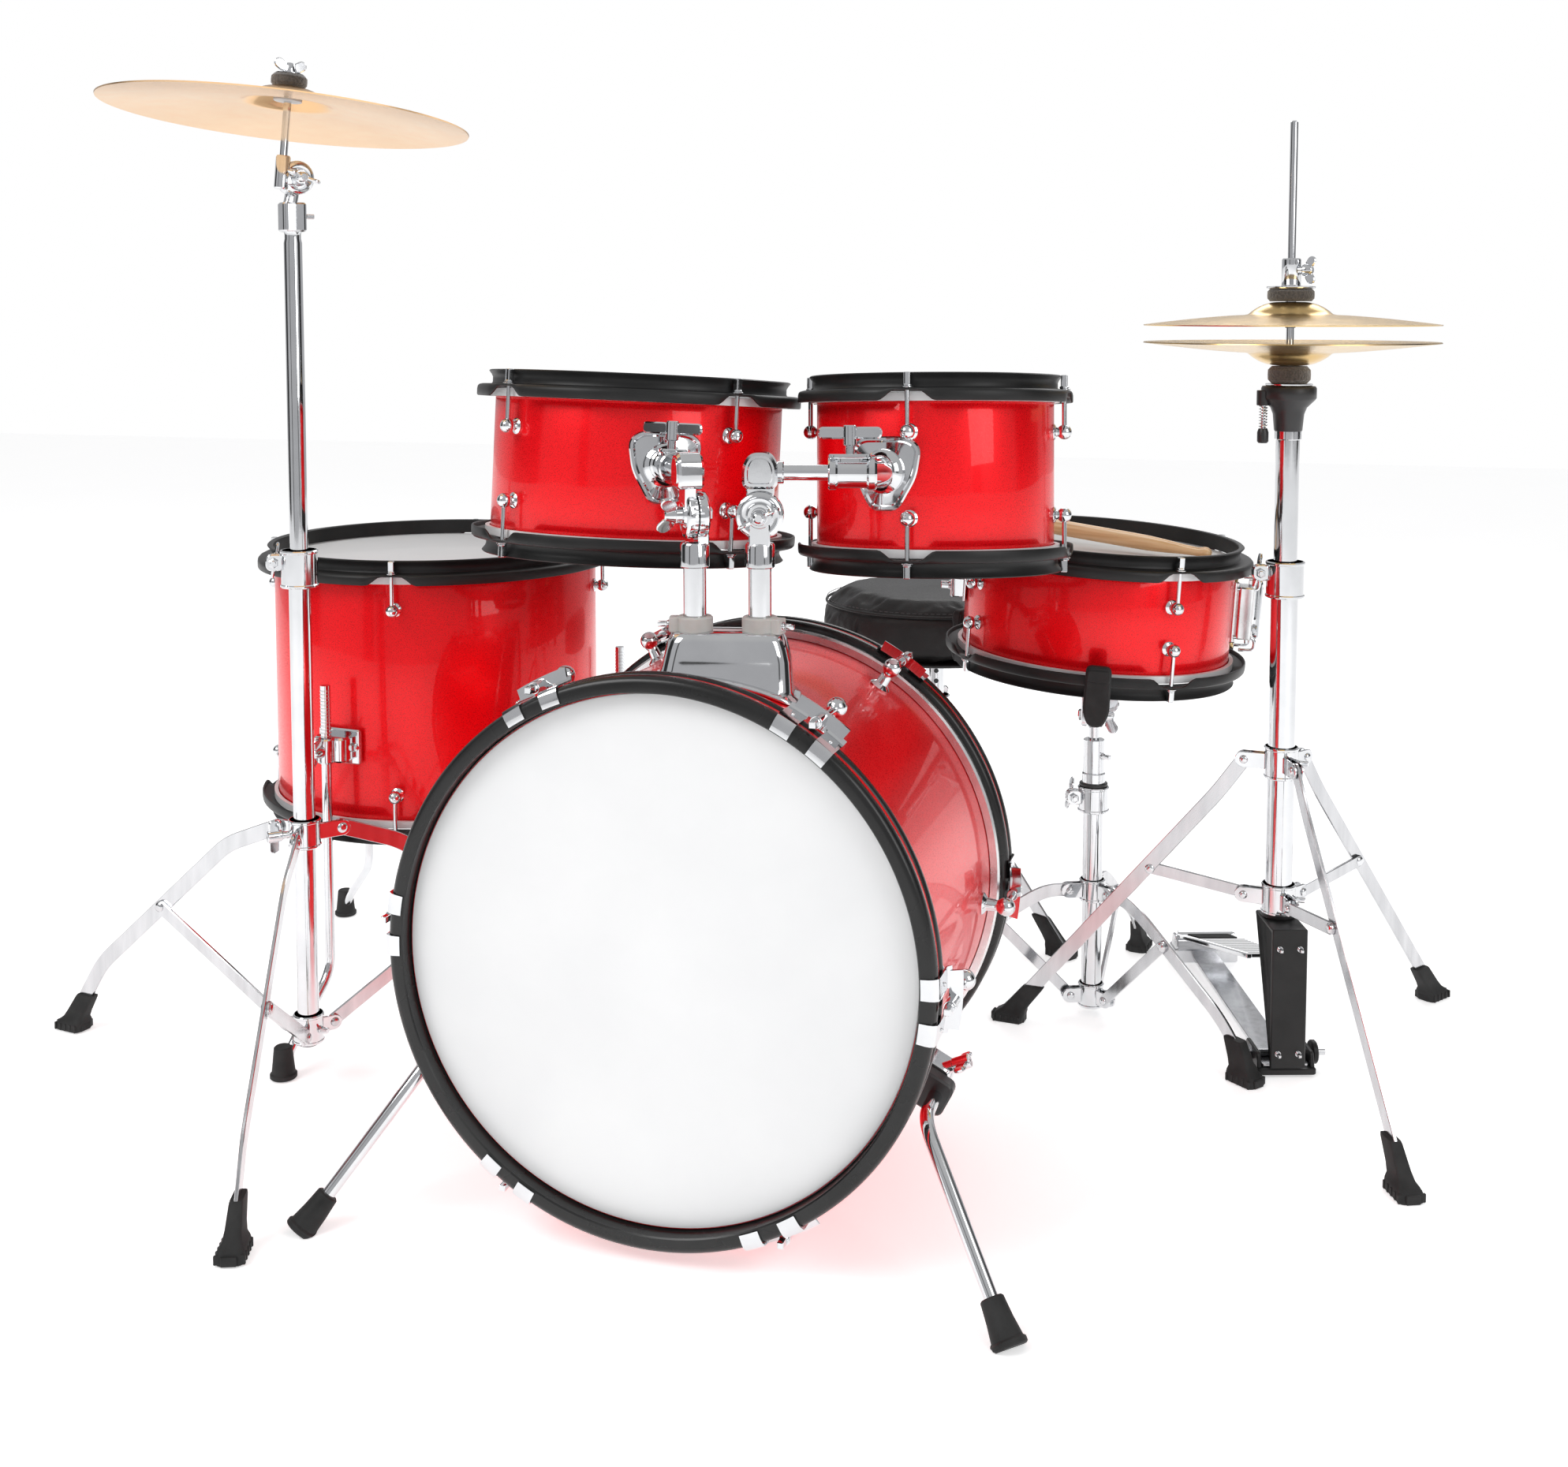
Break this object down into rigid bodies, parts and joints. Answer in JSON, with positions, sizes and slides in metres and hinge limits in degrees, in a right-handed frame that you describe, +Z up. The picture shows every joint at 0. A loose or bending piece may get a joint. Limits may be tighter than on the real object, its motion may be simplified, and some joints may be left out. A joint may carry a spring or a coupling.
{
  "type": "acoustic drum kit",
  "caption": "Junior acoustic drum kit: bass drum with two rack toms, floor tom, snare on its stand, hi-hat with pedal, crash cymbal on a folding stand, round throne and a pair of sticks.",
  "frame": {"origin": "middle of the kit's footprint, on the floor", "axes": "+Z up, -Y towards the audience, +X to the right as the audience sees it"},
  "size_m": [1.3418, 1.1538, 0.9332],
  "materials": {
    "red_lacquer": "red sparkle lacquer under clear coat",
    "black_wood_hoop": "satin black paint",
    "black_steel": "satin black powder coat",
    "drum_head": "smooth white film",
    "cymbal_brass": "lathed, bright",
    "stick_maple": "satin wood",
    "seat_vinyl": "black grained vinyl over foam",
    "chrome": "bright chrome plate",
    "black_rubber": "matte black rubber",
    "black_plastic": "satin black plastic",
    "grey_nylon": "satin grey nylon",
    "felt": "pressed felt"
  },
  "bodies": {
    "kit": {"bass_shell": "red_lacquer", "bass_front_head": "drum_head", "bass_batter_head": "drum_head", "bass_front_hoop": "black_wood_hoop", "bass_batter_hoop": "black_wood_hoop", "tom_mount_base": "chrome", "floor_tom_shell": "red_lacquer", "floor_tom_batter_head": "drum_head", "floor_tom_resonant_head": "drum_head", "floor_tom_batter_hoop": "black_steel", "floor_tom_resonant_hoop": "black_steel", "snare_stand_base": "chrome", "hihat_stand_base": "chrome", "crash_lower_tube": "chrome", "throne_base": "chrome"},
    "spur_right": {"spur_right": "chrome"},
    "spur_left": {"spur_left": "chrome"},
    "left_tom_post": {"left_tom_post": "chrome"},
    "left_tom_arm": {"left_tom_arm": "chrome"},
    "left_tom": {"left_tom_shell": "red_lacquer", "left_tom_batter_head": "drum_head", "left_tom_resonant_head": "drum_head", "left_tom_batter_hoop": "black_steel", "left_tom_resonant_hoop": "black_steel"},
    "right_tom_post": {"right_tom_post": "chrome"},
    "right_tom_arm": {"right_tom_arm": "chrome"},
    "right_tom": {"right_tom_shell": "red_lacquer", "right_tom_batter_head": "drum_head", "right_tom_resonant_head": "drum_head", "right_tom_batter_hoop": "black_steel", "right_tom_resonant_hoop": "black_steel"},
    "floor_tom_leg_a": {"floor_tom_leg_a": "chrome"},
    "floor_tom_leg_b": {"floor_tom_leg_b": "chrome"},
    "floor_tom_leg_c": {"floor_tom_leg_c": "chrome"},
    "snare_stand_tube": {"snare_stand_tube": "chrome"},
    "snare": {"snare_basket": "chrome", "snare_shell": "red_lacquer", "snare_batter_head": "drum_head", "snare_resonant_head": "drum_head", "snare_batter_hoop": "black_steel", "snare_resonant_hoop": "black_steel"},
    "snare_strainer_lever": {"snare_strainer_lever": "chrome"},
    "drumsticks": {"drumsticks": "stick_maple"},
    "hihat_upper": {"hihat_upper_tube": "chrome"},
    "hihat_rod": {"hihat_pull_rod": "chrome", "hihat_top_cymbal": "cymbal_brass"},
    "hihat_bottom": {"hihat_bottom_cymbal": "cymbal_brass"},
    "hihat_footboard": {"hihat_footboard": "chrome"},
    "crash_upper": {"crash_upper_tube": "chrome"},
    "crash_tilter": {"crash_tilter": "chrome"},
    "crash_cymbal": {"crash_cymbal": "cymbal_brass"},
    "crash_collar": {"crash_leg_collar": "chrome"},
    "crash_leg_a": {"crash_leg_a": "chrome"},
    "crash_leg_b": {"crash_leg_b": "chrome"},
    "crash_leg_c": {"crash_leg_c": "chrome"},
    "crash_brace_a": {"crash_brace_a": "chrome"},
    "crash_brace_b": {"crash_brace_b": "chrome"},
    "crash_brace_c": {"crash_brace_c": "chrome"},
    "throne_post": {"throne_post": "chrome"},
    "throne_seat": {"throne_seat": "seat_vinyl"}
  },
  "joints": [
    {"name": "spur_right_fold", "type": "hinge", "parent": "kit", "child": "spur_right", "pos_m": [0.25388, -0.37779, 0.11912], "axis": [0, -0.9995, 0.032], "range_deg": [0, 90]},
    {"name": "spur_left_fold", "type": "hinge", "parent": "kit", "child": "spur_left", "pos_m": [-0.14698, -0.37779, 0.11912], "axis": [0, 0.9995, -0.032], "range_deg": [0, 22]},
    {"name": "left_tom_yaw", "type": "hinge", "parent": "kit", "child": "left_tom_post", "pos_m": [0.05745, -0.38433, 0.5], "axis": [0, 0, 1], "range_deg": [0, 20]},
    {"name": "left_tom_tilt", "type": "hinge", "parent": "left_tom_post", "child": "left_tom_arm", "pos_m": [0.05745, -0.38433, 0.557], "axis": [0.8357, 0.5492, 0], "range_deg": [-2, 15]},
    {"name": "left_tom_reach", "type": "slide", "parent": "left_tom_arm", "child": "left_tom", "axis": [-0.5492, 0.8357, 0], "range_m": [0, 0.012]},
    {"name": "right_tom_yaw", "type": "hinge", "parent": "kit", "child": "right_tom_post", "pos_m": [0.10745, -0.37333, 0.5], "axis": [0, 0, -1], "range_deg": [0, 20]},
    {"name": "right_tom_tilt", "type": "hinge", "parent": "right_tom_post", "child": "right_tom_arm", "pos_m": [0.10745, -0.37333, 0.557], "axis": [0.2419, -0.9703, 0], "range_deg": [-2, 2]},
    {"name": "right_tom_turn", "type": "hinge", "parent": "right_tom_arm", "child": "right_tom", "pos_m": [0.10613, -0.36804, 0.59], "axis": [0.9703, 0.2419, 0], "range_deg": [-3, 12]},
    {"name": "floor_tom_leg_a_height", "type": "slide", "parent": "kit", "child": "floor_tom_leg_a", "axis": [0, 0, 1], "range_m": [-0.05, 0.01]},
    {"name": "floor_tom_leg_b_height", "type": "slide", "parent": "kit", "child": "floor_tom_leg_b", "axis": [0, 0, 1], "range_m": [-0.05, 0.01]},
    {"name": "floor_tom_leg_c_height", "type": "slide", "parent": "kit", "child": "floor_tom_leg_c", "axis": [0, 0, 1], "range_m": [-0.05, 0.01]},
    {"name": "snare_height", "type": "slide", "parent": "kit", "child": "snare_stand_tube", "axis": [0, 0, 1], "range_m": [0, 0.06]},
    {"name": "snare_tilt", "type": "hinge", "parent": "snare_stand_tube", "child": "snare", "pos_m": [0.31545, 0.09067, 0.31], "axis": [-1, 0, 0], "range_deg": [-3, 12]},
    {"name": "snare_throw_off", "type": "hinge", "parent": "snare", "child": "snare_strainer_lever", "pos_m": [0.46994, 0.10887, 0.39198], "axis": [-0.2245, 0.9744, 0.0141], "range_deg": [0, 70]},
    {"name": "sticks_lift", "type": "slide", "parent": "snare", "child": "drumsticks", "axis": [0, 0, 1], "range_m": [0, 0.1]},
    {"name": "hihat_height", "type": "slide", "parent": "kit", "child": "hihat_upper", "axis": [0, 0, 1], "range_m": [0, 0.1]},
    {"name": "hihat_lower_spin", "type": "hinge", "parent": "hihat_upper", "child": "hihat_bottom", "pos_m": [0.49845, 0.02867, 0.66], "axis": [0, 0, 1], "continuous": true},
    {"name": "hihat_pedal", "type": "hinge", "parent": "kit", "child": "hihat_footboard", "pos_m": [0.4192, 0.28154, 0.028], "axis": [0.9542, 0.299, 0], "range_deg": [0, 3.4], "stiffness_Nm_per_rad": 25, "springref_deg": -8.59},
    {"name": "hihat_pull", "type": "slide", "parent": "hihat_upper", "child": "hihat_rod", "axis": [0, 0, -1], "range_m": [0, 0.012]},
    {"name": "crash_height", "type": "slide", "parent": "kit", "child": "crash_upper", "axis": [0, 0, 1], "range_m": [-0.14, 0.04]},
    {"name": "crash_tilt", "type": "hinge", "parent": "crash_upper", "child": "crash_tilter", "pos_m": [-0.35854, -0.27333, 0.834], "axis": [-0.7986, 0.6018, 0], "range_deg": [-25, 20]},
    {"name": "crash_spin", "type": "hinge", "parent": "crash_tilter", "child": "crash_cymbal", "pos_m": [-0.36197, -0.28819, 0.83539], "axis": [0.0598, 0.0793, 0.9951], "continuous": true},
    {"name": "crash_collar_slide", "type": "slide", "parent": "kit", "child": "crash_collar", "axis": [0, 0, 1], "range_m": [0, 0.153]},
    {"name": "crash_leg_a_fold", "type": "hinge", "parent": "crash_collar", "child": "crash_leg_a", "pos_m": [-0.34664, -0.31018, 0.239], "axis": [0.9367, 0.3502, 0], "range_deg": [0, 43.2]},
    {"name": "crash_brace_a_fold", "type": "hinge", "parent": "kit", "child": "crash_brace_a", "pos_m": [-0.35014, -0.30081, 0.055], "axis": [-0.9367, -0.3502, 0], "range_deg": [0, 43.7]},
    {"name": "crash_leg_b_fold", "type": "hinge", "parent": "crash_collar", "child": "crash_leg_b", "pos_m": [-0.33692, -0.2521, 0.239], "axis": [-0.7716, 0.6361, 0], "range_deg": [0, 43.2]},
    {"name": "crash_brace_b_fold", "type": "hinge", "parent": "kit", "child": "crash_brace_b", "pos_m": [-0.34328, -0.25981, 0.055], "axis": [0.7716, -0.6361, 0], "range_deg": [0, 43.7]},
    {"name": "crash_leg_c_fold", "type": "hinge", "parent": "crash_collar", "child": "crash_leg_c", "pos_m": [-0.39208, -0.27272, 0.239], "axis": [-0.165, -0.9863, 0], "range_deg": [0, 43.2]},
    {"name": "crash_brace_c_fold", "type": "hinge", "parent": "kit", "child": "crash_brace_c", "pos_m": [-0.38222, -0.27437, 0.055], "axis": [0.165, 0.9863, 0], "range_deg": [0, 43.7]},
    {"name": "throne_height", "type": "slide", "parent": "kit", "child": "throne_post", "axis": [0, 0, 1], "range_m": [-0.04, 0.06]},
    {"name": "throne_spin", "type": "hinge", "parent": "throne_post", "child": "throne_seat", "pos_m": [0.09845, 0.36067, 0.35], "axis": [0, 0, 1], "continuous": true}
  ],
  "couplings": [
    {"joint": "crash_leg_a_fold", "follows": "crash_collar_slide", "rad_per_m": 4.916},
    {"joint": "crash_brace_a_fold", "follows": "crash_collar_slide", "rad_per_m": 4.97},
    {"joint": "crash_leg_b_fold", "follows": "crash_collar_slide", "rad_per_m": 4.916},
    {"joint": "crash_brace_b_fold", "follows": "crash_collar_slide", "rad_per_m": 4.97},
    {"joint": "crash_leg_c_fold", "follows": "crash_collar_slide", "rad_per_m": 4.916},
    {"joint": "crash_brace_c_fold", "follows": "crash_collar_slide", "rad_per_m": 4.97},
    {"joint": "hihat_pull", "follows": "hihat_pedal", "m_per_rad": 0.2}
  ]
}
